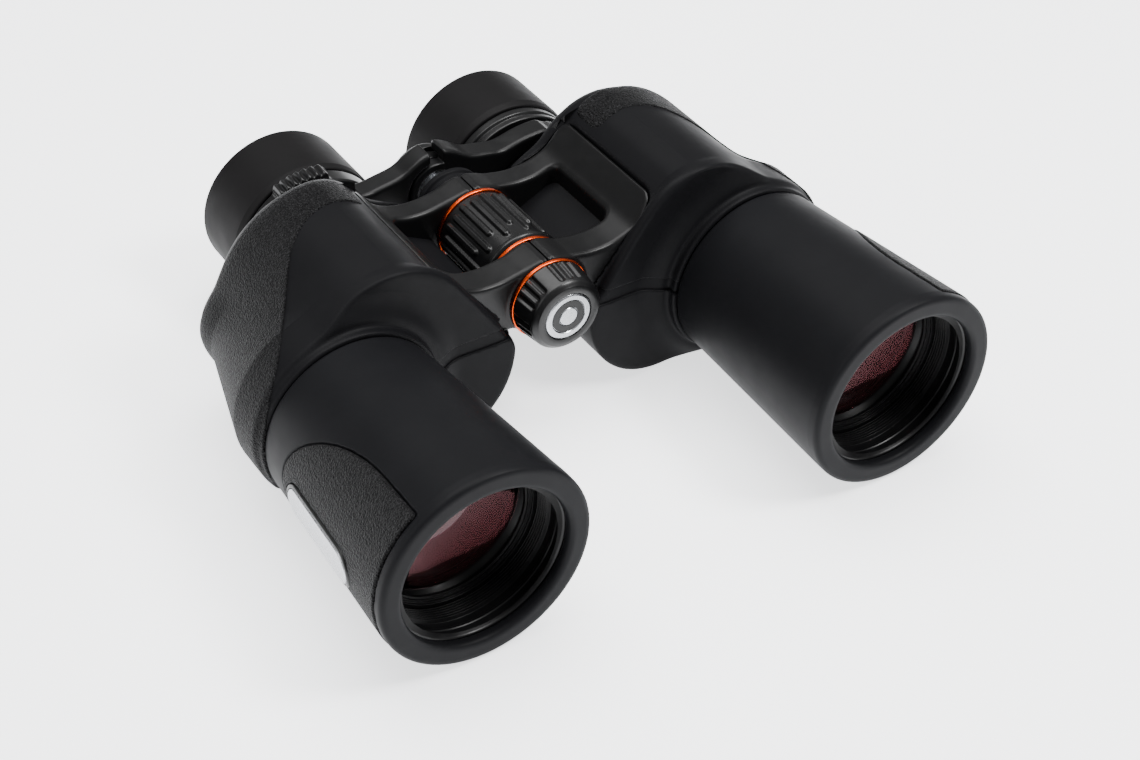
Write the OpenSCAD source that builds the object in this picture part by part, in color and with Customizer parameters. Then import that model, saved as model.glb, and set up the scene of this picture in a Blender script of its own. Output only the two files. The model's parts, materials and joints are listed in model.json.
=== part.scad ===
// Porro-prism astronomy binoculars with a centre focus wheel.
// X runs across the body, and +X is the user's left barrel. Y runs along it, and +Y points to the
// user's eyes. Z is up. The origin is on the surface under the middle of the whole object.
// Inside the modules y is counted back from the front rims; placed() moves that to the origin.

/* [Overall] */
// Length from the front rims to the rear of the eyecups
overall_len = 192; // [190:1:194]
// Height of the hinge axis above the surface
hinge_z = 42; // [41.5:0.5:42.5]

/* [Objective side] */
// Distance from the hinge plane to each objective axis
obj_x = 72.2; // [71.5:0.1:73]
// Outer radius of the front rim
rim_r = 33; // [32.5:0.1:33.5]
// Radius of the opening in the front rim
rim_open_r = 26.2; // [25.9:0.1:26.5]
// Radius of the objective glass
lens_r = 24.8; // [24.5:0.1:24.9]
// Radius of the tube armour where it meets the housing
tube_rear_r = 28.6; // [28:0.1:29]
// Height of the tube armour's centre where it meets the housing
tube_rear_z = 30.2; // [29.8:0.1:30.6]
// Length of the tube armour
tube_len = 75.5; // [75:0.5:76]

/* [Prism housing] */
// Distance from the hinge plane to the middle of the housing's dome
dome_x = 50.5; // [50:0.1:51]
// Radius of the dome
dome_r = 36; // [35.6:0.1:36]
// Front end of the housing
housing_front = 76; // [76:0.5:76.5]
// Rear end of the housing
housing_rear = 141; // [140.5:0.5:141.5]
// Thickness of the rubber armour
armour_t = 2.4; // [2.2:0.1:2.6]
// Thickness of the cast wall
wall_t = 2.6; // [2.4:0.1:2.8]
// Thickness of the textured grip pads
grip_t = 1.2; // [1:0.1:1.4]
// Height at which the upper and lower armour meet
armour_split_z = 39; // [38:0.5:40]

/* [Prisms] */
// Width of the light path through a prism
prism_aperture = 20; // [19:0.5:20.5]
// Middle of the prism shelf
shelf_y = 108; // [107.5:0.5:108.5]
// Thickness of the prism shelf
shelf_t = 3.4; // [3:0.2:3.6]

/* [Hinge] */
// Radius of the hinge lugs
lug_r = 13.6; // [13.4:0.1:13.7]
// Radius of the hinge pin
pin_r = 7; // [6.8:0.1:7.1]
// Front face of the front arms
front_arm_y = 84; // [83.8:0.1:84.2]
// Rear face of the front arms
front_arm_end = 95.4; // [95.2:0.1:95.6]
// Front face of the rear arms
rear_arm_y = 126.9; // [126.7:0.1:127.1]
// Rear face of the rear arms
rear_arm_end = 136; // [135.8:0.1:136.2]
// How far the arms' top surface reaches out from the hinge plane
plate_x = 38; // [37.6:0.1:38.2]
// Outer edge of the window beside the focus wheel
window_x = 30; // [29.5:0.5:30.5]

/* [Eyepieces] */
// Distance from the hinge plane to each eyepiece axis
eye_x = 37.8; // [37.6:0.1:38]
// Height of the eyepiece axes
eye_z = 26.4; // [26.2:0.1:26.6]
// Outer radius of the eyecups
cup_r = 25.8; // [25.6:0.1:26]
// Front edge of the eyecups
cup_y = 166.8; // [166.7:0.1:167]
// Front face of the bridge arms
bridge_y = 149.3; // [149.2:0.1:149.5]
// Rear face of the bridge arms
bridge_end = 157.8; // [157.6:0.1:157.9]

/* [Focus] */
// Radius of the focus wheel under its ribs
wheel_r = 13; // [12.8:0.1:13.2]
// Number of ribs around the focus wheel
wheel_ribs = 16; // [12:1:18]
// Radius of the focus spindle
spindle_r = 4; // [3.8:0.1:4.1]

/* [Hidden] */

$fn = 96;
hull_fn = 40;          // facets round the hulled housing forms
gap = 0.3;             // clearance between bodies that pass each other
run = 0.06;            // radial clearance of a running fit
seat = 0.05;           // clearance between pieces of one body
obj_z = rim_r;         // objective axis height: the rims rest on the surface
dome_z = dome_r;
lobe = [44, 30, 29.8];     // x, z and radius of the fuller lower inner corner
flank = [76, 31, 16];      // x, z and radius of the flatter rear outer corner
knuckle_r = 10.2;          // radius of the inner hinge knuckles
fold_lower = -41;          // lower end of the left arm's cover, degrees below level
fold_lower_moving = -88;   // the same for the right arm, which turns under the left one

// Knuckle spans along the hinge: front start, front end, rear start, rear end
mid_front = (front_arm_y + front_arm_end) / 2;
mid_rear = (rear_arm_y + rear_arm_end) / 2;
left_knuckles = [front_arm_y, mid_front - gap / 2, rear_arm_y, mid_rear - gap / 2];
right_knuckles = [mid_front + gap / 2, front_arm_end, mid_rear + gap / 2, rear_arm_end];
mid_bridge = (bridge_y + bridge_end) / 2;
hub_r = 7;             // bridge hub that the moving arm turns on
spigot_r = 5.4;        // ends of the hinge parts that the focus wheel turns on

// Objective end, counted from the front rims
rim_lip = 3.6;         // depth of the rubber rim in front of the metal tube
tube_bore_r = 27.2;    // bore of the tube in front of the lens seat
tube_back_r = 24.6;    // bore behind the lens seat
tube_seat_r = 23.4;    // spigot that fits into the housing
cell_y = 20;
cell_end = 34.5;
ring_front = 17;
badge_at = [obj_x + 24.5, 39, 30.4];
badge_r = 5.7;
badge_half = 13.4;
badge_tilt = 95;           // the badge faces outwards and a little down
crown_y = 20.6;        // front vertex of the crown lens
crown_t = 7.8;
crown_big = [115, 90]; // radii of its front and rear surfaces
flint_rear = 31.6;

// Rear cover and eyepiece
rear_cover_y = 134;
cover_end = 138.6;     // rear end of the bore that the barrel's nose slides in
nose_r = 14.2;         // front part of the barrel, which passes beside the rear prism
guide_r = 18.5;        // rear part of the barrel
guide_y = 143.3;       // where the rear part starts
boss_r = 22;           // guard collar round the barrel
boss_end = 143.8;
barrel_front = 129;
barrel_rear = 178;
seat_r = 19;           // rear end of the barrel, which carries the rings and the eyecup
sleeve_r = 20.8;
web_y = 184.4;         // web of the eyecup behind its sleeve
ring_y = bridge_end + 1.7;
ring_end = cup_y - 0.4;
screw_places = [[47, 54], [66, 49], [70, 33], [62, 17]];
screw_r = 1.3;
head_r = 2.6;

// Focus wheel and front cap
wheel_y = front_arm_end + gap;
wheel_end = rear_arm_y - gap;
wheel_core_r = 11.5;
trim_w = 1.3;          // width of the orange rings
cap_face = 72;
cap_neck_r = 10.6;
emblem_r = 7.9;
pin_front = 75.5;
socket_r = 3.175;      // half of the 1/4 inch major diameter
socket_end = pin_front + 10;

// The light path steps sideways twice, by equal amounts at right angles.
step = [eye_x - obj_x, eye_z - obj_z];
step_angle = atan2(step[1], step[0]);
leg = norm(step) / sqrt(2);
axis_obj = [obj_x, obj_z];
axis_mid = axis_obj + leg * [cos(step_angle - 45), sin(step_angle - 45)];
axis_eye = [eye_x, eye_z];
prism_half = (leg + prism_aperture) / 2;
rear_face = shelf_y + shelf_t / 2 + seat;
front_face = shelf_y - shelf_t / 2 - seat;
rear_centre = (axis_obj + axis_mid) / 2;
front_centre = (axis_mid + axis_eye) / 2;

black = [0.06, 0.06, 0.065];
rubber = [0.10, 0.10, 0.11];
pad = [0.16, 0.16, 0.17];
orange = [0.95, 0.30, 0.08];
metal = [0.55, 0.56, 0.58];
glass = [0.55, 0.25, 0.28, 0.6];

module placed() { translate([0, -overall_len / 2, 0]) children(); }
module flipped() { mirror([1, 0, 0]) children(); }

// A cylinder along Y between two distances from the front rims
module rod(r, y0, y1, at = [0, 0]) {
    translate([at[0], y0, at[1]]) rotate([-90, 0, 0]) cylinder(r = r, h = y1 - y0);
}
// Everything round the housing between two distances from the front rims
module slab(y0, y1) { rod(80, y0, y1, [dome_x, dome_z]); }
// A turned shape along Y from a half outline of [radius, y] points
module turned(at = [0, 0]) {
    translate([at[0], 0, at[1]]) rotate([-90, 0, 0]) rotate_extrude() children();
}
// An X-Z outline carried along Y
module along_y(y0, y1) {
    translate([0, y1, 0]) rotate([90, 0, 0]) linear_extrude(y1 - y0) children();
}
// Depth of a spherical surface of radius big at distance r from its axis
function sag(r, big) = big - sqrt(big * big - r * r);
function bezier(p, t) = pow(1 - t, 3) * p[0] + 3 * pow(1 - t, 2) * t * p[1]
    + 3 * (1 - t) * t * t * p[2] + pow(t, 3) * p[3];
function curve(p, n) = [for (i = [0:n]) bezier(p, i / n)];

hinge = [0, hinge_z];
// Top of the hinge arms: level over the hinge, a shallow dip, then up onto the housing
arm_top = curve([[0, hinge_z + lug_r], [18, 53.5], [30, 47], [plate_x, 65]], 10);
// Top of the bridge arms, down from the spindle to the eyepiece ring
bridge_top = curve([[0, hinge_z + 14], [12, 50.5], [20, 46], [34, 50]], 8);

/* ---- Prism housing and its rubber ---- */

// The housing's outer form, made smaller all round by inset
module housing_form(inset) {
    front = housing_front + inset;
    rear = housing_rear - inset;
    dome = [dome_x, dome_z];
    hull() {
        rod(dome_r - inset, front + 5, rear - 5, dome, $fn = hull_fn);
        rod(dome_r - 5 - inset, front, rear, dome, $fn = hull_fn);
        rod(lobe[2] - inset, front + 4, rear - 7, [lobe[0], lobe[1]], $fn = hull_fn);
        rod(tube_rear_r + 1 - inset, front, front + 15, [obj_x - 0.4, tube_rear_z + 0.4],
            $fn = hull_fn);
        rod(flank[2] - inset, rear - 16, rear - 4, [flank[0], flank[1]], $fn = hull_fn);
    }
}
// Room above the arms, and the deeper window beside the focus wheel
module arm_recess(drop) {
    translate([drop, 0, -drop]) {
        along_y(front_arm_y - 0.2 - drop, housing_rear + 5)
            polygon(concat([[-10, hinge_z + lug_r]], arm_top, [[plate_x, 90], [-10, 90]]));
        along_y(front_arm_end - drop, rear_arm_y + drop)
            polygon([[-10, 36], [12, 38], [window_x, 47], [window_x, 90], [-10, 90]]);
    }
}
// Outline of one hinge arm from the hinge to the housing
module arm_outline() {
    polygon(concat(arm_top, [[plate_x, 40], [24, 33], [8, 33.5], [0, hinge_z - 8]]));
}
// The part of the X-Z plane that one half's lug covers, from the top down to angle lower
module lug_sector(lower, slot) {
    reach = 60;
    translate(hinge) polygon([[slot, 0], [slot, reach], [reach, reach],
        [reach, reach * tan(max(lower, -45))], [reach * cos(lower), reach * sin(lower)]]);
}
// One hinge arm: an outer cover over the whole width, and an inner knuckle over part of it
module hinge_arm(y0, y1, k0, k1, lower, bore_r, slot) {
    difference() {
        along_y(y0, y1) intersection() {
            union() { translate(hinge) circle(r = lug_r); children(); }
            lug_sector(lower, slot);
        }
        rod(knuckle_r + gap, y0 - 1, y1 + 1, hinge);
    }
    difference() {
        union() {
            rod(knuckle_r, k0, k1, hinge);
            along_y(k0, k1) intersection() {
                translate(hinge) circle(r = knuckle_r + gap + 0.1);
                lug_sector(lower, slot);
            }
        }
        rod(bore_r, k0 - 1, k1 + 1, hinge);
    }
}
// The casting: hollow housing, two hinge arms and the bar that joins them
module prism_housing(knuckles, lower, bore_r) {
    difference() {
        union() {
            difference() {
                housing_form(armour_t + seat);
                slab(rear_cover_y, 150);
                arm_recess(0);
            }
            along_y(front_arm_y, rear_arm_end) intersection() {
                arm_outline();
                translate([window_x, 40]) square([plate_x - window_x, 40]);
            }
        }
        difference() {
            housing_form(armour_t + wall_t);
            arm_recess(wall_t);
            slab(0, housing_front + armour_t + wall_t);
        }
        rod(tube_seat_r, 60, 90, axis_obj);
        rod(nose_r + 0.8, barrel_front - 8, 150, axis_eye);
        arm_recess(0);
    }
    difference() {
        union() {
            hinge_arm(front_arm_y, front_arm_end, knuckles[0], knuckles[1], lower, bore_r, 0.2)
                arm_outline();
            hinge_arm(rear_arm_y, rear_arm_end, knuckles[2], knuckles[3], lower, bore_r, 0.2)
                arm_outline();
        }
        housing_form(armour_t + wall_t - 1);
        rod(tube_seat_r, 60, 90, axis_obj);
    }
}
module armour_shell(inner) {
    difference() {
        housing_form(0);
        housing_form(inner);
        translate([0, 8, 0]) housing_form(7);
        arm_recess(0);
        // room for the casting's arms and bar
        along_y(front_arm_y - 0.2, rear_arm_end + 0.2) union() {
            translate([-10, 30]) square([plate_x + 10 + seat, 30]);
            translate([window_x, 30]) square([plate_x - window_x + seat, 60]);
        }
        rod(24, 60, 90, axis_obj);
        rod(boss_r + seat, rear_cover_y, 150, axis_eye);
    }
}
// Outer side and rear of the housing, where the textured pad lies
module side_pad_zone() {
    translate([0, 0, 14]) linear_extrude(70)
        polygon([[41.6, 150], [41.6, 121], [56, 121], [66.7, 116], [76, 105], [87.7, 87],
            [96, 84], [110, 84], [110, 150]]);
}
module upper_armour() {
    difference() {
        armour_shell(armour_t);
        translate([-5, 60, -5]) cube([120, 90, armour_split_z + 5]);
        pad_pocket();
    }
}
module lower_armour() {
    difference() {
        armour_shell(armour_t);
        translate([-5, 60, armour_split_z - seat]) cube([120, 90, 60]);
        pad_pocket();
    }
}
module pad_pocket() {
    difference() { side_pad_zone(); housing_form(grip_t + seat); }
}
// Outer side of the tube, arched towards the rear
module tube_pad_zone() {
    translate([obj_x + 8, 0, 0]) rotate([90, 0, 90]) linear_extrude(40) intersection() {
        translate([8, 8]) square([66, 50]);
        translate([8, 32]) scale([1, 0.42]) circle(r = 66);
    }
}
module grip_pads() {
    intersection() {
        difference() { housing_form(0); housing_form(grip_t); translate([0, 8, 0]) housing_form(7); }
        side_pad_zone();
    }
    intersection() {
        difference() { tube_form(0); tube_form(grip_t); }
        tube_pad_zone();
    }
}

/* ---- Objective tube ---- */

// Tapered form of the tube rubber, made smaller by inset
module tube_form(inset) {
    hull() {
        rod(rim_r - 2 - inset, inset, 8, axis_obj, $fn = 72);
        rod(rim_r - inset, 2 + inset, 4 + inset, axis_obj, $fn = 72);
        rod(tube_rear_r - inset, tube_len - 0.5, tube_len, [obj_x - 0.4, tube_rear_z], $fn = 72);
    }
}
// Half outline of the metal tube's outside, made larger by grow
function tube_outside(grow) = [[29.4 + grow, rim_lip - grow], [29.4 + grow, 18],
    [28.6 + grow, cell_end], [23.8 + grow, tube_len - 0.4], [23.8 + grow, tube_len]];
module objective_tube() {
    spigot = tube_seat_r - seat;
    turned(axis_obj) polygon(concat(tube_outside(0), [[spigot, tube_len], [spigot, 84],
        [spigot - 1.8, 84], [spigot - 1.8, 74], [tube_back_r, 40], [tube_back_r, cell_end + seat],
        [tube_bore_r, cell_end + seat], [tube_bore_r, rim_lip]]));
}
module tube_armour() {
    difference() {
        tube_form(0);
        turned(axis_obj) polygon(concat([[0, -1], [rim_open_r, -1],
            [rim_open_r, rim_lip - seat]], tube_outside(seat), [[23.8 + seat, 80], [0, 80]]));
        difference() { tube_pad_zone(); tube_form(grip_t + seat); }
    }
}
// A plain pill-shaped plate on the outer side of the tube
module badge() {
    intersection() {
        difference() { tube_form(-0.5); tube_form(0); }
        translate(badge_at) rotate([0, badge_tilt, 0]) hull() {
            for (y = [-badge_half, badge_half]) translate([0, y, -12])
                cylinder(r = badge_r, h = 30, $fn = 32);
        }
    }
}
module objective_cell() {
    out = tube_bore_r - seat;
    turned(axis_obj) polygon([[out, cell_y], [out, cell_end], [23.2, cell_end],
        [23.2, flint_rear + 0.2], [lens_r + seat, flint_rear + 0.2], [lens_r + seat, cell_y]]);
}
module retaining_ring() {
    out = tube_bore_r - seat;
    turned(axis_obj) polygon([[out, ring_front], [out, cell_y - 0.1], [23.4, cell_y - 0.1],
        [23.4, ring_front + 2], [24.6, ring_front]]);
}
function lens_face(y, big, dir, n) = [for (i = [0:n]) let (r = lens_r * i / n)
    [r, y + dir * sag(r, big)]];
function reversed(a) = [for (i = [len(a) - 1:-1:0]) a[i]];
module crown_lens() {
    turned(axis_obj) polygon(concat(lens_face(crown_y, crown_big[0], 1, 8),
        reversed(lens_face(crown_y + crown_t, crown_big[1], -1, 8))));
}
module flint_lens() {
    turned(axis_obj) polygon(concat(lens_face(crown_y + crown_t + seat, crown_big[1], -1, 8),
        [[lens_r, flint_rear], [0, flint_rear]]));
}

/* ---- Prisms ---- */

// A right-angle prism on the plane y = face, its ridge dir away, its length along angle
module porro_prism(centre, angle, face, dir) {
    c = 1.6;
    h = prism_half;
    translate([centre[0], face, centre[1]]) rotate([0, -angle, 0]) mirror([0, dir < 0 ? 1 : 0, 0])
        difference() {
            linear_extrude(prism_aperture, center = true)
                polygon([[-h + c, 0], [h - c, 0], [h - c, c], [c, h - c], [-c, h - c], [-h + c, c]]);
            translate([-0.6, -1, -20]) cube([1.2, 2.5, 40]);
        }
}
// A spring strap over the prism's roof
module prism_clip(centre, angle, face, dir) {
    h = prism_half;
    t = 0.8;
    translate([centre[0], face, centre[1]]) rotate([0, -angle, 0]) mirror([0, dir < 0 ? 1 : 0, 0])
        linear_extrude(6, center = true) difference() {
            polygon([[-h - 2.2 * t, 0], [0, h + 2.2 * t], [h + 2.2 * t, 0]]);
            polygon([[-h - t, -1], [-h - t, 0], [0, h + t], [h + t, 0], [h + t, -1]]);
            translate([-3, h - 0.4]) square([6, 6]);
        }
    translate([centre[0], face, centre[1]]) rotate([0, -angle, 0]) mirror([0, dir < 0 ? 1 : 0, 0])
        translate([-4, h - 1, -3]) cube([8, t, 6]);
}
module rear_prism() { porro_prism(rear_centre, step_angle - 45, rear_face, 1); }
module front_prism() { porro_prism(front_centre, step_angle + 45, front_face, -1); }
module prism_clips() {
    prism_clip(rear_centre, step_angle - 45, rear_face, 1);
    prism_clip(front_centre, step_angle + 45, front_face, -1);
}
module prism_shelf() {
    difference() {
        intersection() {
            housing_form(armour_t + wall_t + seat);
            slab(shelf_y - shelf_t / 2, shelf_y + shelf_t / 2);
        }
        arm_recess(wall_t + seat);
        for (at = [axis_obj, axis_mid, axis_eye])
            rod(prism_aperture / 2 - 0.5, shelf_y - 5, shelf_y + 5, at);
    }
}

/* ---- Rear cover and eyepiece ---- */

module rear_cover() {
    difference() {
        union() {
            intersection() {
                housing_form(armour_t + seat);
                slab(rear_cover_y + seat, housing_rear - armour_t - seat);
            }
            rod(boss_r, rear_cover_y + 1, boss_end, axis_eye);
        }
        rod(nose_r + run, 100, 160, axis_eye);
        rod(guide_r + 0.4, cover_end, 160, axis_eye);
        arm_recess(0);
        rod(lug_r + 2, 100, 160, hinge);
        along_y(120, rear_arm_end + seat) arm_outline();
        for (at = screw_places) rod(screw_r + seat, rear_cover_y - 1, 150, at);
    }
}
module cover_screws() {
    head_y = housing_rear - armour_t;
    for (at = screw_places) {
        rod(screw_r, rear_cover_y + 1, head_y, at);
        difference() {
            rod(head_r, head_y, head_y + 1.2, at);
            translate([at[0] - 0.4, head_y + 0.6, at[1] - 2]) cube([0.8, 2, 4]);
            translate([at[0] - 2, head_y + 0.6, at[1] - 0.4]) cube([4, 2, 0.8]);
        }
    }
}
module eyepiece_barrel() {
    turned(axis_eye) polygon([[nose_r, barrel_front], [nose_r, guide_y], [guide_r, guide_y],
        [guide_r, bridge_end + 1.2], [seat_r, bridge_end + 1.2], [seat_r, barrel_rear],
        [12.4, barrel_rear], [12.4, 175.6], [13.4, 175.6], [13.4, 160], [16, 156], [16, 149],
        [12, guide_y], [12, 136.2], [13.2, 136.2], [13.2, barrel_front]]);
}
module field_lens() {
    turned(axis_eye) polygon(concat([for (i = [0:6]) let (r = 13.1 * i / 6) [r, 130 + sag(r, 45)]],
        [[13.1, 136.1], [0, 136.1]]));
}
module eye_lens() {
    turned(axis_eye) polygon(concat([[0, 167]], [[13.3, 167]],
        [for (i = [6:-1:0]) let (r = 13.3 * i / 6) [r, 175.4 - sag(r, 38)]]));
}
// The sleeve slides on the barrel's rear part and carries the turning cup
module eyecup_sleeve() {
    turned(axis_eye) polygon([[seat_r + run, cup_y + 0.1], [sleeve_r, cup_y + 0.1],
        [sleeve_r, web_y - 0.4], [seat_r + run, web_y - 0.4]]);
}
module eyecup() {
    turned(axis_eye) polygon([[sleeve_r + run, cup_y], [cup_r, cup_y], [cup_r, overall_len - 3],
        [cup_r - 0.9, overall_len - 0.9], [cup_r - 3, overall_len], [17, web_y + 1.4], [17, web_y],
        [sleeve_r + run, web_y]]);
}
module left_ring_body() {
    turned(axis_eye) polygon([[seat_r + run, ring_y], [24.6, ring_y], [24.6, 161.5], [23.6, 162],
        [23.6, 163], [24.6, 163.5], [24.6, ring_end], [seat_r + run, ring_end]]);
}
module diopter_body() {
    turned(axis_eye) polygon([[seat_r + run, ring_y], [25, ring_y], [25, ring_end],
        [seat_r + run, ring_end]]);
    // finger tab on top with eight ribs
    difference() {
        intersection() {
            rod(28.4, ring_y + 0.4, ring_end - 0.2, axis_eye);
            along_y(ring_y, ring_end) translate(axis_eye)
                polygon([[0, 0], [23.5, 40], [-7.5, 40]]);
        }
        rod(24.9, ring_y - 1, ring_end + 1, axis_eye);
        for (a = [61.5:5.4:99.5]) translate([axis_eye[0], 0, axis_eye[1]]) rotate([0, 90 - a, 0])
            translate([-0.8, ring_y - 1, 27.4]) cube([1.6, 12, 4]);
    }
}

/* ---- Bridge ---- */

module bridge_outline() {
    polygon(concat(bridge_top, [[36, 40], [22, 34], [8, 34]]));
}
module bridge_arm(k0, k1, bore_r, ring_bore, lower) {
    difference() {
        union() {
            difference() {
                hinge_arm(bridge_y, bridge_end, k0, k1, lower, bore_r, 2.4)
                    bridge_outline();
                rod(guide_r + 3, 140, 160, axis_eye);
            }
            rod(24.4, bridge_y, bridge_end, axis_eye);
        }
        rod(ring_bore, 140, 170, axis_eye);
    }
}

/* ---- Centre column ---- */

module hinge_pin_body() {
    difference() {
        union() {
            rod(pin_r, pin_front, front_arm_end, hinge);
            rod(spigot_r, front_arm_end, front_arm_end + 3.5, hinge);
        }
        rod(5, 70, socket_end + 1, hinge);
    }
}
module tripod_socket_body() {
    difference() {
        rod(5 - seat, pin_front, socket_end + 1 - seat, hinge);
        rod(socket_r, pin_front - 1, socket_end, hinge);
    }
}
module hinge_sleeve_body() {
    difference() {
        union() {
            rod(pin_r, rear_arm_y, 137.5, hinge);
            rod(spigot_r, rear_arm_y - 3.5, rear_arm_y, hinge);
        }
        rod(spindle_r + run, 120, 140, hinge);
    }
}
module focus_wheel_body() {
    difference() {
        rod(wheel_core_r, wheel_y, wheel_end, hinge);
        rod(spigot_r + run, wheel_y - 1, wheel_y + 3.6, hinge);
        rod(spigot_r + run, wheel_end - 3.6, wheel_end + 1, hinge);
        rod(spindle_r + run, wheel_y - 1, wheel_end + 1, hinge);
    }
}
module focus_grip_body() {
    y0 = wheel_y + trim_w + seat;
    y1 = wheel_end - trim_w - seat;
    difference() {
        union() {
            rod(wheel_r, y0, y1, hinge);
            rod(lug_r + 0.5, y0 + 1.2, y0 + 2.6, hinge);
            // staggered ribs: every second one starts further back
            for (i = [0:wheel_ribs - 1]) translate([0, 0, hinge_z]) rotate([0, 360 * i / wheel_ribs, 0])
                translate([-1.1, y0 + 4.6 + (i % 2) * 4, wheel_r - 1])
                    cube([2.2, y1 - y0 - 6.2 - (i % 2) * 4, 1.9]);
        }
        rod(wheel_core_r + seat, y0 - 1, y1 + 1, hinge);
    }
}
module wheel_trim_rings_body() {
    for (y = [wheel_y, wheel_end - trim_w]) difference() {
        rod(lug_r, y, y + trim_w, hinge);
        rod(wheel_core_r + seat, y - 1, y + 3, hinge);
    }
}
module focus_spindle_body() {
    rod(spindle_r, 106, 158.6, hinge);
    rod(hub_r, 149.8, bridge_end, hinge);
}
module bridge_cap_body() {
    difference() {
        turned(hinge) polygon([[0, 158.2], [11, 158.2], [11, 160.4], [10, 161.6], [0, 161.6]]);
        rod(spindle_r + seat, 150, 158.7, hinge);
    }
}
module dust_ring_body() {
    turned(hinge) polygon([[pin_r + seat, rear_arm_end + gap], [12, rear_arm_end + gap], [12, 139],
        [11, 140], [12, 141], [12, 142.6], [11, 143.8], [6, 143.8], [6, 140], [pin_r + seat, 138]]);
}
module front_cap_body() {
    difference() {
        turned(hinge) polygon([[0, cap_face], [10.8, cap_face], [12.3, cap_face + 1.6],
            [13.2, 82.2], [cap_neck_r, 82.2], [cap_neck_r, 83.4], [0, 83.4]]);
        rod(pin_r + run, 74.8, 90, hinge);
        rod(emblem_r + 0.2, cap_face - 1, cap_face + 0.5, hinge);
        // finger flutes in groups of three
        for (g = [0:5]) for (i = [-1:1]) translate([0, 0, hinge_z]) rotate([0, g * 60 + i * 14, 0])
            translate([0, cap_face + 2.6, 13.9]) rotate([-90, 0, 0]) cylinder(r = 1.3, h = 12, $fn = 24);
    }
}
module cap_trim_ring_body() {
    difference() { rod(lug_r, 82.3, 83.6, hinge); rod(cap_neck_r + seat, 80, 90, hinge); }
}
module cap_emblem_body() {
    turned(hinge) polygon([[0, 71.9], [3, 71.9], [3, 72.2], [5.4, 72.2], [5.4, 71.9],
        [emblem_r, 71.9], [emblem_r, cap_face + 0.5], [0, cap_face + 0.5]]);
}

/* ---- Nodes ---- */

module left_prism_housing() {
    color(black) placed() prism_housing(left_knuckles, fold_lower, pin_r);
}
module right_prism_housing() {
    color(black) placed() flipped()
        prism_housing(right_knuckles, fold_lower_moving, pin_r + run);
}
module left_upper_armour() { color(rubber) placed() upper_armour(); }
module right_upper_armour() { color(rubber) placed() flipped() upper_armour(); }
module left_lower_armour() { color(rubber) placed() lower_armour(); }
module right_lower_armour() { color(rubber) placed() flipped() lower_armour(); }
module left_grip_pads() { color(pad) placed() grip_pads(); }
module right_grip_pads() { color(pad) placed() flipped() grip_pads(); }
module left_objective_tube() { color(black) placed() objective_tube(); }
module right_objective_tube() { color(black) placed() flipped() objective_tube(); }
module left_tube_armour() { color(rubber) placed() tube_armour(); }
module right_tube_armour() { color(rubber) placed() flipped() tube_armour(); }
module left_badge() { color(metal) placed() badge(); }
module right_badge() { color(metal) placed() flipped() badge(); }
module left_objective_cell() { color(black) placed() objective_cell(); }
module right_objective_cell() { color(black) placed() flipped() objective_cell(); }
module left_retaining_ring() { color(black) placed() retaining_ring(); }
module right_retaining_ring() { color(black) placed() flipped() retaining_ring(); }
module left_crown_lens() { color(glass) placed() crown_lens(); }
module right_crown_lens() { color(glass) placed() flipped() crown_lens(); }
module left_flint_lens() { color(glass) placed() flint_lens(); }
module right_flint_lens() { color(glass) placed() flipped() flint_lens(); }
module left_front_prism() { color(glass) placed() front_prism(); }
module right_front_prism() { color(glass) placed() flipped() front_prism(); }
module left_rear_prism() { color(glass) placed() rear_prism(); }
module right_rear_prism() { color(glass) placed() flipped() rear_prism(); }
module left_prism_shelf() { color(metal) placed() prism_shelf(); }
module right_prism_shelf() { color(metal) placed() flipped() prism_shelf(); }
module left_prism_clips() { color(metal) placed() prism_clips(); }
module right_prism_clips() { color(metal) placed() flipped() prism_clips(); }
module left_rear_cover() { color(black) placed() rear_cover(); }
module right_rear_cover() { color(black) placed() flipped() rear_cover(); }
module left_cover_screws() { color(metal) placed() cover_screws(); }
module right_cover_screws() { color(metal) placed() flipped() cover_screws(); }
module left_eyepiece_barrel() { color(black) placed() eyepiece_barrel(); }
module right_eyepiece_barrel() { color(black) placed() flipped() eyepiece_barrel(); }
module left_field_lens() { color(glass) placed() field_lens(); }
module right_field_lens() { color(glass) placed() flipped() field_lens(); }
module left_eye_lens() { color(glass) placed() eye_lens(); }
module right_eye_lens() { color(glass) placed() flipped() eye_lens(); }
module left_eyecup_sleeve() { color(black) placed() eyecup_sleeve(); }
module right_eyecup_sleeve() { color(black) placed() flipped() eyecup_sleeve(); }
module left_eyecup() { color(rubber) placed() eyecup(); }
module right_eyecup() { color(rubber) placed() flipped() eyecup(); }
module left_bridge_arm() {
    color(black) placed()
        bridge_arm(bridge_y, mid_bridge - gap / 2, hub_r, guide_r, fold_lower);
}
module right_bridge_arm() {
    color(black) placed() flipped()
        bridge_arm(mid_bridge + gap / 2, bridge_end, hub_r + run, guide_r + run, fold_lower_moving);
}
module hinge_pin() { color(metal) placed() hinge_pin_body(); }
module tripod_socket() { color(metal) placed() tripod_socket_body(); }
module hinge_sleeve() { color(metal) placed() hinge_sleeve_body(); }
module focus_wheel() { color(black) placed() focus_wheel_body(); }
module focus_grip() { color(rubber) placed() focus_grip_body(); }
module wheel_trim_rings() { color(orange) placed() wheel_trim_rings_body(); }
module focus_spindle() { color(metal) placed() focus_spindle_body(); }
module bridge_cap() { color(black) placed() bridge_cap_body(); }
module dust_ring() { color(rubber) placed() dust_ring_body(); }
module front_cap() { color(black) placed() front_cap_body(); }
module cap_trim_ring() { color(orange) placed() cap_trim_ring_body(); }
module cap_emblem() { color(metal) placed() cap_emblem_body(); }
module diopter_ring() { color(black) placed() flipped() diopter_body(); }
module left_eyepiece_ring() { color(black) placed() left_ring_body(); }

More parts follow.
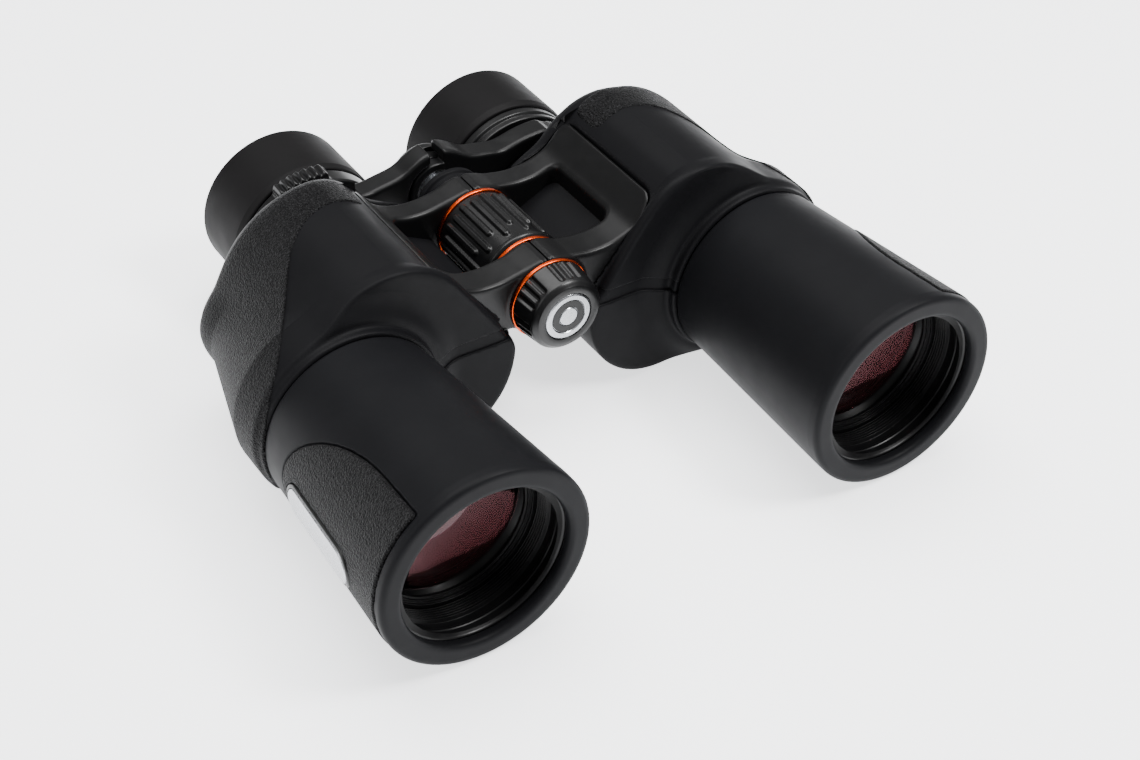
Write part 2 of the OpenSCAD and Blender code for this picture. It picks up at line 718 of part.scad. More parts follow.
left_prism_housing();
left_upper_armour();
left_lower_armour();
left_grip_pads();
left_objective_tube();
left_tube_armour();
left_badge();
left_objective_cell();
left_retaining_ring();
left_crown_lens();
left_flint_lens();
left_front_prism();
left_rear_prism();
left_prism_shelf();
left_prism_clips();
left_rear_cover();
left_cover_screws();
left_eyepiece_barrel();
left_field_lens();
left_eye_lens();
left_eyecup_sleeve();
left_eyecup();
left_bridge_arm();
right_prism_housing();
right_upper_armour();
right_lower_armour();
right_grip_pads();
right_objective_tube();
right_tube_armour();
right_badge();
right_objective_cell();
right_retaining_ring();
right_crown_lens();
right_flint_lens();
right_front_prism();
right_rear_prism();
right_prism_shelf();
right_prism_clips();
right_rear_cover();
right_cover_screws();
right_eyepiece_barrel();
right_field_lens();
right_eye_lens();
right_eyecup_sleeve();
right_eyecup();
right_bridge_arm();
hinge_pin();
tripod_socket();
hinge_sleeve();
focus_wheel();
focus_grip();
wheel_trim_rings();
focus_spindle();
bridge_cap();
dust_ring();
front_cap();
cap_trim_ring();
cap_emblem();
diopter_ring();
left_eyepiece_ring();
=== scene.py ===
"""Astronomy binoculars: moulded rubber, cast arms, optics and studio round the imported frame.

Sizes are in millimetres. Inside the shape functions y is counted back from the front rims,
and the +X barrel is described; the -X barrel is its mirror image. A shape function gives the
distance to a surface, negative inside, and skin() turns it into a mesh.
"""
import json
import math

import bpy
import numpy as np
from mathutils import Matrix, Vector


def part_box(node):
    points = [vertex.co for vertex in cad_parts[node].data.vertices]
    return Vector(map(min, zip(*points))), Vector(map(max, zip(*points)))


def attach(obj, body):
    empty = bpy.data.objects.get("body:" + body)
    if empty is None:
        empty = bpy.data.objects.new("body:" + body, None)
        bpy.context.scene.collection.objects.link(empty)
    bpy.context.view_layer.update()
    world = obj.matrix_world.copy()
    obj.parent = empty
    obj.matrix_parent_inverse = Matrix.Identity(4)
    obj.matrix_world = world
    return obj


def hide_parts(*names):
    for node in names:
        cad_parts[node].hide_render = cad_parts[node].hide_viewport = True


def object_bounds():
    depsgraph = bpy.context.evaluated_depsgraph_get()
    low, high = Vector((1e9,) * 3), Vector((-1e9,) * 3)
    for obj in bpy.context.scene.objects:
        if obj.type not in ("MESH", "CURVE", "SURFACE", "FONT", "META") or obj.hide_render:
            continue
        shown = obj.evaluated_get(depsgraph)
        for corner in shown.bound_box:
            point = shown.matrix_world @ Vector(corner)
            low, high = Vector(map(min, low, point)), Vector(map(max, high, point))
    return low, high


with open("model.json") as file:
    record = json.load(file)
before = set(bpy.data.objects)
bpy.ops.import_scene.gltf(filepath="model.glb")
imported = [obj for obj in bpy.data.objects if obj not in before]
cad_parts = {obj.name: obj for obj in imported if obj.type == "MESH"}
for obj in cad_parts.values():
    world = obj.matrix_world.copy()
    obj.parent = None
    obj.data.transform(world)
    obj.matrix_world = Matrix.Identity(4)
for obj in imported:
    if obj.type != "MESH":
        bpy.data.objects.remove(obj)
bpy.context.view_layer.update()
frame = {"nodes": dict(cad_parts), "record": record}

MM = 0.001
FINE = 1.0


# ---- Places and sizes from the frame ----

def box_mm(node):
    lo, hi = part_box(node)
    return np.array(lo) / MM, np.array(hi) / MM


def centre_of(node):
    lo, hi = box_mm(node)
    return (lo[0] + hi[0]) / 2, (lo[2] + hi[2]) / 2


RIM_Y = box_mm("left_tube_armour")[0][1]
OBJ = centre_of("left_retaining_ring")
EYE = centre_of("left_eyecup")
HINGE = (0.0, centre_of("wheel_trim_rings")[1])
RIM_R = (box_mm("left_tube_armour")[1][2] - box_mm("left_tube_armour")[0][2]) / 2
CUP_R = (box_mm("left_eyecup")[1][2] - box_mm("left_eyecup")[0][2]) / 2
LUG_R = (box_mm("cap_trim_ring")[1][2] - box_mm("cap_trim_ring")[0][2]) / 2


def span_y(node):
    """Front and rear end of a CAD node, counted back from the rims."""
    lo, hi = box_mm(node)
    return lo[1] - RIM_Y, hi[1] - RIM_Y


TUBE_END = span_y("left_tube_armour")[1]
METAL_TUBE_END = span_y("left_objective_tube")[1]
REAR = span_y("left_upper_armour")[1]
STOP_Y, STOP_END = span_y("left_retaining_ring")
LENS_Y, LENS_END = span_y("left_crown_lens")
RING_Y, RING_END = span_y("left_eyepiece_ring")
SLEEVE_END = span_y("left_eyecup_sleeve")[1]
CUP_Y, CUP_END = span_y("left_eyecup")
BRIDGE_Y, BRIDGE_END = span_y("left_bridge_arm")
WHEEL_Y, WHEEL_END = span_y("focus_wheel")
DUST_Y, DUST_END = span_y("dust_ring")
BRIDGE_CAP_Y, BRIDGE_CAP_END = span_y("bridge_cap")
DISC_Y, DISC_END = span_y("cap_emblem")
CAP_Y, CAP_BACK = span_y("front_cap")
CAP_TRIM_Y, CAP_TRIM_END = span_y("cap_trim_ring")

LUG_GAP = 0.3                  # play between the focus wheel and the hinge arms
ARM_DEPTH, BACK_DEPTH = 11.4, 9.1
ARM_END = WHEEL_Y - LUG_GAP
ARM_Y = ARM_END - ARM_DEPTH
BACK_Y = WHEEL_END + LUG_GAP
BACK_END = BACK_Y + BACK_DEPTH


# ---- Mesh tools ----

def make_object(name, verts, faces, normals=None):
    me = bpy.data.meshes.new(name)
    v = np.asarray(verts, float).copy()
    v[:, 1] += RIM_Y
    me.from_pydata((v * MM).tolist(), [], [tuple(f) for f in faces])
    me.validate()
    me.update()
    me.polygons.foreach_set("use_smooth", [True] * len(me.polygons))
    if normals is not None and len(me.vertices) == len(normals):
        me.normals_split_custom_set_from_vertices(np.asarray(normals, float).tolist())
    ob = bpy.data.objects.new(name, me)
    bpy.context.scene.collection.objects.link(ob)
    return ob


def mirrored(verts, faces, normals=None):
    v = np.array(verts, float)
    v[:, 0] *= -1
    f = [tuple(reversed(q)) for q in faces]
    if normals is None:
        return v, f, None
    n = np.array(normals, float)
    n[:, 0] *= -1
    return v, f, n


def add_piece(name, shape, mat, body, nodes, mirror=False):
    """One visible piece, in place of the CAD nodes named."""
    if mirror:
        shape = mirrored(*shape)
    ob = make_object(name, *shape)
    ob.data.materials.append(mat)
    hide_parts(*nodes)
    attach(ob, body)
    return ob


CORNERS = [(i, j, k) for i in (0, 1) for j in (0, 1) for k in (0, 1)]
EDGES = [(a, b) for a in range(8) for b in range(a + 1, 8)
         if sum(abs(p - q) for p, q in zip(CORNERS[a], CORNERS[b])) == 1]


def skin(field, lo, hi, step):
    """Closed quad mesh where the field is zero, with normals from the field."""
    step = step * FINE
    axes = [np.arange(a, b + step, step) for a, b in zip(lo, hi)]
    grid = np.meshgrid(*axes, indexing="ij")
    val = field(*grid).astype(np.float32)
    inside = val < 0
    n = val.shape
    cells = tuple(s - 1 for s in n)
    count = np.zeros(cells, np.int8)
    for i, j, k in CORNERS:
        count += inside[i:i + cells[0], j:j + cells[1], k:k + cells[2]]
    active = (count > 0) & (count < 8)
    index = -np.ones(cells, np.int64)
    index[active] = np.arange(int(active.sum()))
    ci, cj, ck = np.nonzero(active)
    corner = np.stack([val[ci + i, cj + j, ck + k] for i, j, k in CORNERS])
    total = np.zeros((len(ci), 3))
    hits = np.zeros(len(ci))
    for a, b in EDGES:
        va, vb = corner[a], corner[b]
        cross = (va < 0) != (vb < 0)
        t = np.where(cross, va / np.where(cross, va - vb, 1), 0)[:, None]
        pa, pb = np.array(CORNERS[a], float), np.array(CORNERS[b], float)
        total += np.where(cross[:, None], pa + t * (pb - pa), 0)
        hits += cross
    p = (np.stack([ci, cj, ck], 1) + total / hits[:, None]) * step + np.array([a[0] for a in axes])
    h = 0.04
    normal = None
    for turn in range(4):
        g = np.stack([
            field(p[:, 0] + h * e[0], p[:, 1] + h * e[1], p[:, 2] + h * e[2])
            - field(p[:, 0] - h * e[0], p[:, 1] - h * e[1], p[:, 2] - h * e[2])
            for e in np.eye(3)], 1) / (2 * h)
        size = np.maximum((g * g).sum(1), 1e-3)
        normal = g / np.sqrt(size)[:, None]
        if turn < 3:
            move = (field(*p.T) / size)[:, None] * g
            length = np.maximum(np.linalg.norm(move, axis=1), 1e-9)[:, None]
            p = p - move * np.minimum(1, 0.5 * step / length)
    faces = []
    for axis in range(3):
        u, w = (axis + 1) % 3, (axis + 2) % 3
        lo_in = np.take(inside, range(n[axis] - 1), axis)
        hi_in = np.take(inside, range(1, n[axis]), axis)
        cross = lo_in != hi_in
        at = np.stack(np.nonzero(cross), 1)
        keep = (at[:, u] > 0) & (at[:, u] < n[u] - 1) & (at[:, w] > 0) & (at[:, w] < n[w] - 1)
        at = at[keep]
        out = lo_in[tuple(at.T)]
        quad = []
        for du, dw in ((1, 1), (0, 1), (0, 0), (1, 0)):
            q = at.copy()
            q[:, u] -= du
            q[:, w] -= dw
            quad.append(index[tuple(q.T)])
        quad = np.stack(quad, 1)
        quad[~out] = quad[~out][:, ::-1]
        faces.append(quad[(quad >= 0).all(1)])
    return p, np.concatenate(faces).tolist(), normal


FAR = 1e3                      # a distance that nothing here reaches


def smin(a, b, k):
    """Union with a fillet about k wide."""
    h = np.maximum(k - np.abs(a - b), 0) / k
    return np.minimum(a, b) - h * h * k * 0.25


def smax(a, b, k):
    """Intersection with an edge rounded over about k."""
    return -smin(-a, -b, k)


def two_circles(x, z, a, b):
    """Distance to the hull of two circles, each (x, z, radius)."""
    dx, dz = b[0] - a[0], b[1] - a[1]
    length = np.sqrt(dx * dx + dz * dz)
    ux, uz = dx / length, dz / length
    along = (x - a[0]) * ux + (z - a[1]) * uz
    across = np.abs((z - a[1]) * ux - (x - a[0]) * uz)
    s = (a[2] - b[2]) / length
    c = np.sqrt(1 - s * s)
    k = c * along - s * across
    side = c * across + s * along - a[2]
    near = np.hypot(across, along) - a[2]
    far = np.hypot(across, along - length) - b[2]
    return np.where(k < 0, near, np.where(k > c * length, far, side))


def rounded_corner(u, v, r):
    """Distance to the quarter plane u < 0, v < 0 whose corner has radius r."""
    a, b = u + r, v + r
    return np.hypot(np.maximum(a, 0), np.maximum(b, 0)) + np.minimum(np.maximum(a, b), 0) - r


def spun(rings, at, turns, closed):
    """Surface through rings of (radii, y, normals or None); a ring of radius 0 is a single point."""
    ang = np.arange(turns) * 2 * math.pi / turns
    c, s = np.cos(ang), np.sin(ang)
    verts, normals, start, total = [], [], [], 0
    for r, y, n in rings:
        r = np.broadcast_to(r, (turns,))
        pole = float(r.max()) < 1e-4
        count = 1 if pole else turns
        cc, ss = (np.zeros(1), np.zeros(1)) if pole else (c, s)
        rr = r[:count]
        verts.append(np.stack([at[0] + rr * cc, np.full(count, y), at[1] + rr * ss], 1))
        if n is not None:
            flat = (0.0, math.copysign(1.0, n[1])) if pole else n
            normals.append(np.stack([flat[0] * cc, np.full(count, flat[1]), flat[0] * ss], 1))
        start.append((total, pole))
        total += count
    faces = []
    for i in range(len(rings) if closed else len(rings) - 1):
        (a, pa), (b, pb) = start[i], start[(i + 1) % len(rings)]
        for k in range(turns):
            m = (k + 1) % turns
            if pa and pb:
                continue
            if pa:
                faces.append((a, b + k, b + m))
            elif pb:
                faces.append((a + k, b, a + m))
            else:
                faces.append((a + k, b + k, b + m, a + m))
    return np.concatenate(verts), faces, (np.concatenate(normals) if normals else None)


def lathe(profile, at, turns=128, closed=True):
    """Turned shape along y. The profile is (radius, y, rounding), counted once round the section."""
    pts, nrm = rounded_profile(profile, closed)
    rings = [(r, y, n) for (r, y), n in zip(pts, nrm)]
    return spun(rings, at, max(24, int(turns / FINE)), closed)


def rounded_profile(profile, closed):
    """Replaces each corner of a section by a small arc; gives points and outward normals."""
    n = len(profile)
    pts, nrm = [], []
    for i in range(n):
        p = np.array(profile[i][:2], float)
        r = profile[i][2] if len(profile[i]) > 2 else 0.0
        if not closed and i in (0, n - 1):
            q = np.array(profile[1 if i == 0 else n - 2][:2], float)
            d = (q - p) if i == 0 else (p - q)
            d = d / np.linalg.norm(d)
            pts.append(p)
            nrm.append((d[1], -d[0]))
            continue
        a = np.array(profile[i - 1][:2], float) - p
        b = np.array(profile[(i + 1) % n][:2], float) - p
        la, lb = np.linalg.norm(a), np.linalg.norm(b)
        a, b = a / la, b / lb
        na, nb = np.array([-a[1], a[0]]), np.array([b[1], -b[0]])
        cosine = float(np.clip(a @ b, -1, 1))
        half = math.acos(cosine) / 2
        if r <= 0 or half > 1.56:
            m = na + nb
            m = m / max(np.linalg.norm(m), 1e-9)
            pts.append(p)
            nrm.append(tuple(m))
            continue
        cut = min(r / math.tan(half), 0.49 * la, 0.49 * lb)
        steps = 5
        start, end = p + a * cut, p + b * cut
        for k in range(steps + 1):
            t = k / steps
            pts.append((1 - t) ** 2 * start + 2 * t * (1 - t) * p + t * t * end)
            m = (1 - t) * na + t * nb
            nrm.append(tuple(m / max(np.linalg.norm(m), 1e-9)))
    return pts, nrm


def polar(radius, at, y0, y1, rows, turns, head=(), tail=()):
    """Dense turned surface whose radius depends on angle and y, with plain rings before and after.
    The rings close on themselves unless they end on the axis."""
    rows, turns = max(4, int(rows / FINE)), max(48, int(turns / FINE))
    ys = np.linspace(y0, y1, rows)
    ang, deep = np.meshgrid(np.arange(turns) * 2 * math.pi / turns, ys)
    r = radius(ang, deep)
    rings = [(a, b, None) for a, b in head]
    rings += [(r[i], ys[i], None) for i in range(rows)]
    rings += [(a, b, None) for a, b in tail]
    return spun(rings, at, turns, tail[-1][0] > 0)


def smooth01(t):
    t = np.clip(t, 0, 1)
    return t * t * (3 - 2 * t)


# ---- Materials ----

class Nodes:
    """A few shorthand calls for one material's nodes."""

    def __init__(self, name):
        self.mat = bpy.data.materials.new(name)
        self.mat.use_nodes = True
        self.tree = self.mat.node_tree
        self.shader = self.tree.nodes["Principled BSDF"]
        coord = self.tree.nodes.new("ShaderNodeTexCoord")
        self.place = coord.outputs["Object"]

    def new(self, kind, **sockets):
        node = self.tree.nodes.new(kind)
        for key, value in sockets.items():
            key = key.replace("_", " ")
            if isinstance(value, bpy.types.NodeSocket):
                self.tree.links.new(value, node.inputs[key])
            else:
                node.inputs[key].default_value = value
        return node

    def noise(self, scale, detail=3.0, rough=0.5):
        node = self.new("ShaderNodeTexNoise", Scale=scale, Detail=detail, Roughness=rough)
        self.tree.links.new(self.place, node.inputs["Vector"])
        return node.outputs["Fac"]

    def spread(self, fac, lo, hi, frm=(0.3, 0.7)):
        node = self.new("ShaderNodeMapRange", Value=fac)
        for key, value in zip(("From Min", "From Max", "To Min", "To Max"), (*frm, lo, hi)):
            node.inputs[key].default_value = value
        return node.outputs["Result"]

    def mix(self, fac, a, b):
        node = self.tree.nodes.new("ShaderNodeMix")
        node.data_type = "RGBA"
        self.tree.links.new(fac, node.inputs["Factor"])
        node.inputs[6].default_value = (*a, 1)
        node.inputs[7].default_value = (*b, 1)
        return node.outputs[2]

    def bump(self, height, strength, distance, under=None):
        node = self.new("ShaderNodeBump", Height=height, Strength=strength, Distance=distance)
        if under is not None:
            self.tree.links.new(under, node.inputs["Normal"])
        return node.outputs["Normal"]

    def to(self, key, value):
        if isinstance(value, bpy.types.NodeSocket):
            self.tree.links.new(value, self.shader.inputs[key])
        else:
            self.shader.inputs[key].default_value = value


def rubber(name, dark, light, rough, grain_mm, strength, specular):
    """Moulded rubber: cloudy tone, uneven sheen and a fine skin grain."""
    m = Nodes(name)
    m.to("Base Color", m.mix(m.noise(60.0), dark, light))
    m.to("Roughness", m.spread(m.noise(140.0, 4.0), rough[0], rough[1]))
    fine = m.bump(m.noise(1000.0 / grain_mm, 2.0), strength, 0.0001)
    m.to("Normal", m.bump(m.noise(220.0, 2.0), 0.04, 0.0004, fine))
    m.to("Specular IOR Level", specular)
    return m.mat


def pebbled(name, dark, light):
    """Grip surface: fine rounded grains; the pale specks on their raised tops are a painted highlight.
    """
    m = Nodes(name)
    cells = m.new("ShaderNodeTexVoronoi", Scale=1350.0, Randomness=1.0)
    m.tree.links.new(m.place, cells.inputs["Vector"])
    grain = m.spread(cells.outputs["Distance"], 1.0, 0.0, (0.05, 0.7))
    speck_bump_and_highlight = m.noise(2100.0, 2.0)
    # painted highlight: the specks that raise the grains are also coloured pale, as sheen on the grain
    # tops
    m.to("Base Color", m.mix(m.spread(speck_bump_and_highlight, 0.0, 1.0, (0.5, 0.68)), dark, light))
    m.to("Roughness", m.spread(speck_bump_and_highlight, 0.42, 0.65))
    height = m.new("ShaderNodeMath")
    height.operation = "MULTIPLY_ADD"
    m.tree.links.new(grain, height.inputs[0])
    height.inputs[1].default_value = 0.7
    m.tree.links.new(speck_bump_and_highlight, height.inputs[2])
    m.to("Normal", m.bump(height.outputs[0], 1.0, 0.0006))
    m.to("Specular IOR Level", 0.08)
    return m.mat


def metal(name, a, b, rough, scratch=900.0, strength=0.05):
    """Bare or anodised metal with fine tool marks."""
    m = Nodes(name)
    m.to("Base Color", m.mix(m.noise(90.0), a, b))
    m.to("Metallic", 1.0)
    m.to("Roughness", m.spread(m.noise(scratch, 4.0), rough[0], rough[1]))
    m.to("Normal", m.bump(m.noise(scratch * 1.6, 3.0), strength, 0.00005))
    return m.mat


def enamel(name, dark, light, rough, grain_mm, strength, specular):
    """Painted or moulded hard black surface with a slight orange peel."""
    m = Nodes(name)
    m.to("Base Color", m.mix(m.noise(80.0), dark, light))
    m.to("Roughness", m.spread(m.noise(260.0, 4.0), rough[0], rough[1]))
    m.to("Normal", m.bump(m.noise(1000.0 / grain_mm, 2.0), strength, 0.00008))
    m.to("Specular IOR Level", specular)
    return m.mat


def coated(name, body, tint):
    """Coated glass: clear body, faint coloured reflection, a trace of haze in the roughness."""
    m = Nodes(name)
    m.to("Base Color", m.mix(m.noise(25.0, 2.0), body, tuple(c * 1.04 for c in body)))
    m.to("Roughness", m.spread(m.noise(40.0, 1.0), 0.0, 0.02))
    m.to("Transmission Weight", 1.0)
    m.to("IOR", 1.5)
    m.to("Specular Tint", (*tint, 1))
    return m.mat


# Blacks are very dark and shine little, because the pale floor lights every flank.
DEEP, SOFT = (0.003, 0.003, 0.0032), (0.0045, 0.0045, 0.0048)
ARMOUR = rubber("armour", (0.0045, 0.0045, 0.0052), (0.0065, 0.0065, 0.0072),
                rough=(0.42, 0.5), grain_mm=0.35, strength=0.05, specular=0.05)
TUBE_SKIN = rubber("tube_skin", (0.0045, 0.0046, 0.0054), (0.0065, 0.0066, 0.0075),
                   rough=(0.44, 0.5), grain_mm=0.35, strength=0.05, specular=0.06)
CUP_SKIN = rubber("cup_skin", (0.005, 0.0048, 0.005), (0.007, 0.0066, 0.007),
                  rough=(0.5, 0.58), grain_mm=0.3, strength=0.06, specular=0.07)
# The grip's pale second colour is a painted highlight on the raised grains.
GRIP = pebbled("grip", (0.003, 0.003, 0.0033), (0.022, 0.022, 0.023))
CAST = enamel("cast_enamel", DEEP, SOFT, rough=(0.3, 0.38), grain_mm=0.4, strength=0.1, specular=0.2)
PLASTIC = enamel("plastic", DEEP, SOFT, rough=(0.27, 0.36), grain_mm=0.5, strength=0.05, specular=0.3)
WHEEL_SKIN = enamel("wheel_skin", DEEP, SOFT, rough=(0.24, 0.34), grain_mm=0.4, strength=0.07,
                    specular=0.3)
BAFFLE = enamel("baffle", DEEP, SOFT, rough=(0.28, 0.42), grain_mm=0.6, strength=0.04, specular=0.2)
ORANGE = metal("orange", (0.86, 0.10, 0.018), (0.76, 0.08, 0.013), (0.22, 0.34))
BADGE = metal("badge", (0.50, 0.51, 0.53), (0.42, 0.43, 0.45), (0.22, 0.36), 700.0, 0.03)
STEEL = metal("steel", (0.46, 0.47, 0.49), (0.36, 0.37, 0.39), (0.22, 0.38))
DARK_STEEL = metal("dark_steel", (0.07, 0.07, 0.075), (0.05, 0.05, 0.055), (0.3, 0.45))
BRASS = metal("brass", (0.62, 0.42, 0.16), (0.52, 0.34, 0.12), (0.25, 0.4))
LENS = coated("lens_coating", (0.80, 0.58, 0.60), (0.16, 0.05, 0.065))
OPTIC = coated("optic", (0.85, 0.80, 0.80), (0.35, 0.22, 0.24))

FINISH = {"armour_rubber": ARMOUR, "grip_rubber": GRIP, "cast_black": CAST,
          "anodised_black": BAFFLE, "hard_plastic": PLASTIC, "eyecup_rubber": CUP_SKIN,
          "orange_anodised": ORANGE, "badge_metal": BADGE, "steel": STEEL,
          "screw_steel": DARK_STEEL, "brass": BRASS, "coated_glass": LENS,
          "optical_glass": OPTIC}


# ---- Shape of one prism housing (+X side) ----

# Circles are (x, z, radius); curves are lists of (x, height) or (x, y).
DOME = (50.5, 36.0, 36.0)
LOBE = (44.0, 30.0, 29.8)
FLANK = (71.8, 30.6, 29.6)
FLANK_Y, FLANK_RUN = 91, 34    # from here to the rear the flank narrows
NECK = (71.4, 30.4)            # where the tube meets the housing
COLLAR_R = 29.4
SHELL = 2.4                    # thickness of the rubber
FACE_Y = TUBE_END + 3.2        # the front face stands back from the tube's end
COVE = (38.8, 71.2)            # (radius about the neck, y) of the hollow in the front
COVE_R, COVE_LEAN = 10.0, (0.989, 0.146)
BORE_R, CORE_BORE_R, BORE_END = 27.4, 24.2, 92
EYE_BORE_R, EYE_BORE_Y = 22.0, 120
PLATE_X = 39.4                 # outer edge of the hinge plate
WINDOW_X = 30.0                # outer edge of the opening beside the wheel
HUB_ROOM = 14.9                # kept free round the hinge
KNUCKLE_R, PIN_R, PLAY = 9.8, 7.0, 0.03
HALF_GAP = 0.15                # half the gap between two knuckles
ARM_TOP = ((0, 56), (9, 53.8), (18, 52.5), (26, 53.6), (32, 56.6), (38, 63.6), (44, 68.8), (52, 73.5))
FRONT_TOP = ((12, 31), (18, 39.6), (24, 48.2), (30, 56.8), (36, 64.5), (42, 69.3), (49, 72.6), (60, 77))
BRIDGE_TOP = ((0, 56), (4.3, 54.9), (8, 53), (12, 51.3), (20, 49.6), (28, 48.4), (34, 49.4), (40, 50.6))
PAD_LINE = ((40, 121.2), (50, 121.2), (56, 120.9), (62, 119), (66.7, 116), (71.4, 111.7), (76.2, 105),
            (81.8, 96.5), (87.7, 87.2), (92.9, 80.7), (96.7, 77.6), (99.2, 75.6), (112, 72))


def curve(points):
    """Smooth curve through a few points, as a function."""
    xs = np.array([p[0] for p in points], float)
    ys = np.array([p[1] for p in points], float)
    slope = np.gradient(ys, xs)

    def at(x):
        x = np.clip(x, xs[0], xs[-1])
        i = np.clip(np.searchsorted(xs, x) - 1, 0, len(xs) - 2)
        w = xs[i + 1] - xs[i]
        t = (x - xs[i]) / w
        return ((2 * t ** 3 - 3 * t ** 2 + 1) * ys[i] + (t ** 3 - 2 * t ** 2 + t) * w * slope[i]
                + (3 * t ** 2 - 2 * t ** 3) * ys[i + 1] + (t ** 3 - t ** 2) * w * slope[i + 1])
    return at


arm_top = curve(ARM_TOP)
front_top = curve(FRONT_TOP)
bridge_top = curve(BRIDGE_TOP)
pad_line = curve(PAD_LINE)


def housing(x, y, z):
    """Outer skin of the housing, before the valley of the hinge plate."""
    t = np.clip((y - FLANK_Y) / FLANK_RUN, 0, 1)
    flank = (FLANK[0] + 4.2 * t, FLANK[1] + 0.4 * t, FLANK[2] - 13.6 * t)
    d = smin(two_circles(x, z, DOME, flank), two_circles(x, z, DOME, LOBE), 2.0)
    d = smin(d, two_circles(x, z, LOBE, flank), 2.0)
    d = smax(d, y - REAR, 12.0)
    d = smax(d, FACE_Y - y, 1.8)
    around = np.hypot(x - NECK[0], z - NECK[1])
    u, v = around - COVE[0], y - COVE[1]
    out, fore = COVE_LEAN
    run = np.clip(out * u - fore * v, 0, 40)
    cove = np.hypot(u - out * run, v + fore * run) - COVE_R
    d = smax(d, -cove, 1.3)
    collar = smax(around - COLLAR_R + 0.5 * np.maximum(y - 86, 0), TUBE_END + 0.1 - y, 0.9)
    return smin(d, collar, 1.5)


def skin_field(x, y, z):
    """Outer skin with the top cut down to the hinge plate's level."""
    d = housing(x, y, z)
    back = smooth01((y - ARM_Y + 1.5) / 4)
    level = front_top(x) + (arm_top(x) - front_top(x)) * back
    return smax(d, (z - level) * 0.75, 3.0)


def plate_box(x, y, z, grow):
    """Room taken by the arms and the bar between them."""
    plan = smax(x - PLATE_X - grow, smax(ARM_Y - grow - y, y - BACK_END - grow, 5.0), 8.0)
    return smax(plan, 31.0 - z, 1.0)


def split_lines(x):
    """Lower edge of the upper armour and upper edge of the lower one."""
    across = np.clip(x - 20, -6, 45)
    return 39.2 - 0.14 * across, 34.4 - 0.12 * across


def pierced(d, x, y, z, bore_r):
    """Cuts the openings for the tube and for the eyepiece."""
    bore = smax(np.hypot(x - NECK[0], z - NECK[1]) - bore_r, y - BORE_END, 0.8)
    eye = smax(np.hypot(x - EYE[0], z - EYE[1]) - EYE_BORE_R, EYE_BORE_Y - y, 0.8)
    return smax(smax(d, -bore, 0.8), -eye, 0.8)


def armour(x, y, z, upper):
    """Rubber shell above or below the split line."""
    d = skin_field(x, y, z)
    shell = smax(d, -(d + SHELL), 0.6)
    shell = smax(shell, -plate_box(x, y, z, 0.2), 0.45)
    shell = pierced(shell, x, y, z, BORE_R)
    high, low = split_lines(x)
    return smax(shell, high - z, 0.5) if upper else smax(shell, z - low, 0.5)


def core(x, y, z):
    """The casting under the rubber: a hollow shell, the sunk floor and sill of the window beside
    the wheel, and the band that shows between the two halves of the rubber."""
    d = skin_field(x, y, z)
    pit = smax(smax(x - 31.5, 32.0 + 0.5 * x - z, 1.5), smax(ARM_END - 2 - y, y - BACK_Y - 2, 1.0), 1.0)
    wall = smax(d + SHELL + 0.05, -pit, 1.0)
    sill = smax(smax(x - 33, z - 34.0 - 0.5 * x, 1.0), smax(ARM_Y + 4 - y, y - BACK_END + 2, 1.0), 1.0)
    wall = smin(wall, smax(smax(d + 0.3, sill, 1.0), 31.4 - z, 1.0), 0.8)
    shell = smax(wall, -(wall + 2.6), 0.8)
    high, low = split_lines(x)
    band = smax(smax(d + 0.75, -(d + SHELL + 1.5), 0.4), smax(z - high - 2, low - 2 - z, 0.4), 0.4)
    shell = np.minimum(shell, smax(band, -plate_box(x, y, z, 0.25), 0.4))
    hub = np.hypot(x, z - HINGE[1]) - HUB_ROOM
    return smax(pierced(shell, x, y, z, CORE_BORE_R), -hub, 0.8)


def sector(x, z, lower, slot):
    """Side of the hinge that an arm keeps, from the top down to the angle `lower` in degrees."""
    a = math.radians(lower)
    under = x * math.sin(a) - (z - HINGE[1]) * math.cos(a)
    return np.maximum(slot - x, under)


def knuckle_part(x, y, z, spans, bore):
    """Full rings of the hinge, one for each span of y."""
    d = np.full(np.shape(x), FAR)
    around = np.hypot(x, z - HINGE[1])
    for y0, y1 in spans:
        k = smax(around - KNUCKLE_R, smax(y0 - y, y - y1, 0.4), 0.5)
        d = np.minimum(d, k)
    return smax(d, bore + PLAY - around, 0.4)


def arms(x, y, z, spans, lower):
    """Front and rear hinge arms and the bar that joins them, as one soft-edged frame."""
    around = np.hypot(x, z - HINGE[1])
    top = (z - arm_top(x)) * 0.8
    floor = 33.6 + 7.0 * smooth01((x - 22) / 16) - z
    body = smax(smax(top, floor, 1.5), x - PLATE_X, 0.45)
    front = smax(ARM_Y - y, y - ARM_END, 1.2)
    rear = smax(BACK_Y - y, y - BACK_END, 1.2)
    bar = rounded_corner(x - PLATE_X, ARM_Y - y, 7.0)
    bar = np.maximum(bar, rounded_corner(x - PLATE_X, y - BACK_END, 4.0))
    window = np.maximum(rounded_corner(x - WINDOW_X, ARM_END - y, 4.0),
                        rounded_corner(x - WINDOW_X, y - BACK_Y, 3.0))
    plan = smax(bar, -window, 1.6)
    hub_y = np.minimum(front, rear)
    hub = smax(around - LUG_R, hub_y, 1.0)
    web = smax(smax(body, plan, 1.6), 2.0 - x, 0.6)
    d = smin(hub, smax(web, -(around - 12.5), 0.8), 1.2)
    d = smax(d, 11.0 - around, 0.7)
    cut = sector(x, z, lower, 0.15)
    d = smax(d, cut, 0.5)
    own = knuckle_part(x, y, z, spans, PIN_R)
    tie = smax(smax(around - 11.4, cut, 0.4), 9.4 - around, 0.4)
    ties = np.full(np.shape(x), FAR)
    for y0, y1 in spans:
        ties = np.minimum(ties, smax(tie, smax(y0 - y, y - y1, 0.4), 0.4))
    return np.minimum(np.minimum(d, own), ties)


